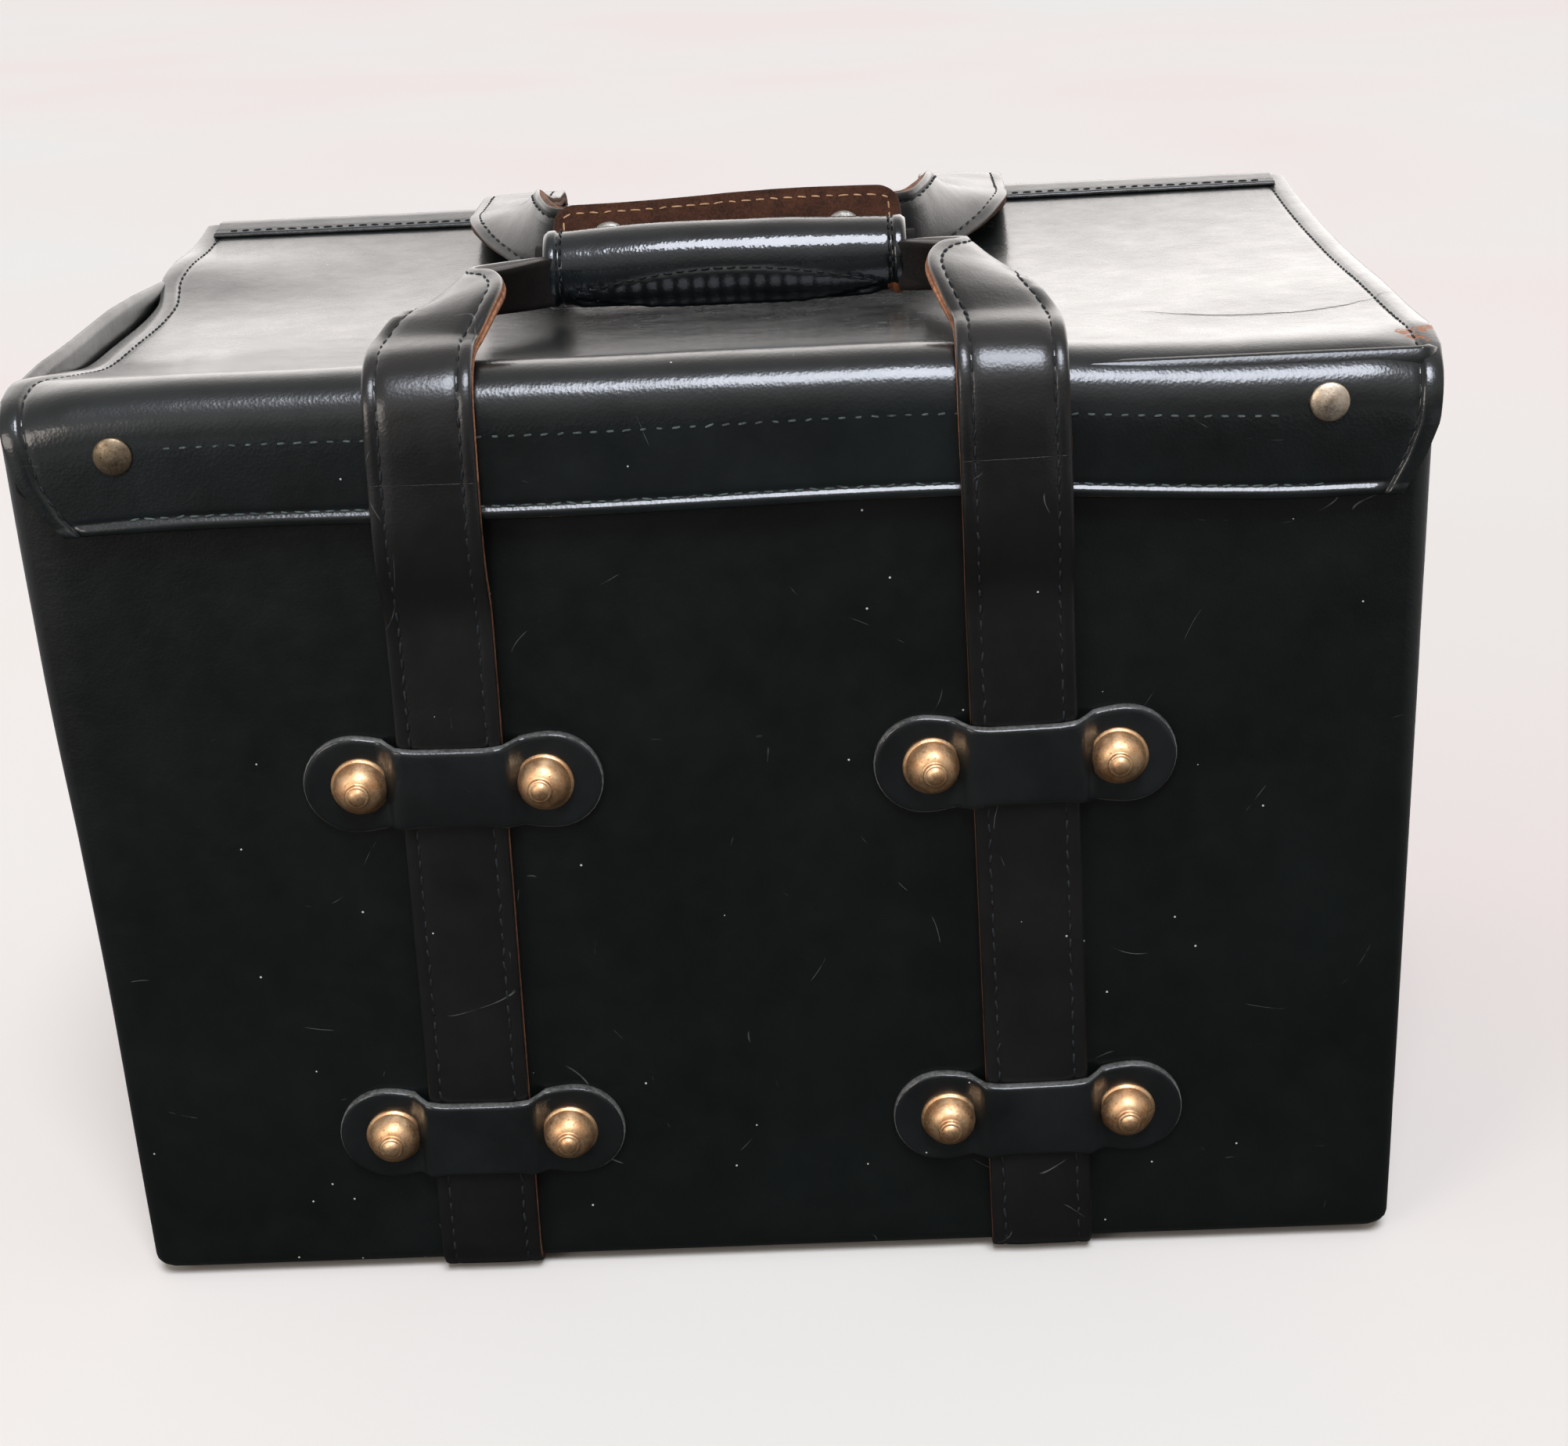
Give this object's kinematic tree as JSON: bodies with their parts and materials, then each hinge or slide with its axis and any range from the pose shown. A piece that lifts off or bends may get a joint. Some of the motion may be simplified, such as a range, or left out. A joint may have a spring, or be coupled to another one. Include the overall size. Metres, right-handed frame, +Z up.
{
  "type": "leather camera case",
  "caption": "Boxy black leather camera case with a rear hinged lid, snapped front flap, strap loops through riveted keepers and a wrapped hand grip.",
  "frame": {"origin": "on the ground under the middle of the case, where the undersides of the two straps rest", "axes": "+X to the right along the width, +Y to the back towards the lid hinge, +Z up"},
  "size_m": [0.4376, 0.3106, 0.332],
  "materials": {
    "case_leather": "polished",
    "strap_leather": "waxed",
    "wrap_leather": "suede",
    "suede_lining": "napped",
    "aged_brass": "aged",
    "nickel": "worn"
  },
  "bodies": {
    "case": {"front_panel": "case_leather", "back_panel": "case_leather", "bottom_panel": "case_leather", "left_end_panel": "case_leather", "right_end_panel": "case_leather", "lining": "suede_lining", "base_pad": "suede_lining", "hinge_piping": "case_leather", "hinge_band": "case_leather", "left_sling": "strap_leather", "right_sling": "strap_leather", "front_left_upper_keeper": "strap_leather", "front_left_lower_keeper": "strap_leather", "front_right_upper_keeper": "strap_leather", "front_right_lower_keeper": "strap_leather", "back_left_upper_keeper": "strap_leather", "back_left_lower_keeper": "strap_leather", "back_right_upper_keeper": "strap_leather", "back_right_lower_keeper": "strap_leather", "front_studs": "aged_brass", "back_studs": "aged_brass", "front_stud_burrs": "aged_brass", "back_stud_burrs": "aged_brass", "snap_studs": "nickel", "left_ring_tab": "strap_leather", "right_ring_tab": "strap_leather"},
    "lid": {"lid_leather": "case_leather", "lid_lining": "suede_lining", "flap_facing": "case_leather", "left_lid_binding": "case_leather", "right_lid_binding": "case_leather", "snap_caps": "nickel", "snap_sockets": "nickel"},
    "front_legs": {"front_left_leg": "strap_leather", "front_right_leg": "strap_leather"},
    "front_grip": {"front_left_shoulder": "strap_leather", "front_right_shoulder": "strap_leather", "grip_core": "case_leather", "grip_wrap": "case_leather"},
    "wrap": {"wrap_flap": "wrap_leather", "wrap_sockets": "nickel"},
    "rear_loop": {"rear_left_leg": "strap_leather", "rear_right_leg": "strap_leather", "rear_left_shoulder": "strap_leather", "rear_right_shoulder": "strap_leather", "rear_hand_strap": "strap_leather"},
    "left_ring": {"left_d_ring": "nickel"},
    "right_ring": {"right_d_ring": "nickel"}
  },
  "joints": [
    {"name": "lid_hinge", "type": "hinge", "parent": "case", "child": "lid", "pos_m": [0, 0.1395, 0.2975], "axis": [-1, 0, 0], "range_deg": [0, 90], "deforming": ["hinge_band", "snap_sockets"]},
    {"name": "front_leg_swing", "type": "hinge", "parent": "case", "child": "front_legs", "pos_m": [0, -0.1469, 0.19], "axis": [1, 0, 0], "range_deg": [0, 100]},
    {"name": "front_grip_fold", "type": "hinge", "parent": "front_legs", "child": "front_grip", "pos_m": [0, -0.148, 0.304], "axis": [1, 0, 0], "range_deg": [0, 200], "deforming": ["front_left_shoulder", "front_right_shoulder"]},
    {"name": "rear_loop_swing", "type": "hinge", "parent": "case", "child": "rear_loop", "pos_m": [0, 0.1469, 0.19], "axis": [-1, 0, 0], "range_deg": [0, 130]},
    {"name": "wrap_flap_hinge", "type": "hinge", "parent": "front_grip", "child": "wrap", "pos_m": [0, -0.0137, 0.306], "axis": [-1, 0, 0], "range_deg": [0, 70]},
    {"name": "left_ring_swing", "type": "hinge", "parent": "case", "child": "left_ring", "pos_m": [-0.2144, 0, 0.252], "axis": [0, 1, 0], "range_deg": [0, 120]},
    {"name": "right_ring_swing", "type": "hinge", "parent": "case", "child": "right_ring", "pos_m": [0.2144, 0, 0.252], "axis": [0, -1, 0], "range_deg": [0, 120]}
  ],
  "couplings": [
    {"joint": "front_leg_swing", "follows": "lid_hinge", "ratio": 1.1111},
    {"joint": "front_grip_fold", "follows": "lid_hinge", "ratio": 2.2222},
    {"joint": "rear_loop_swing", "follows": "lid_hinge", "ratio": 1.4444}
  ]
}
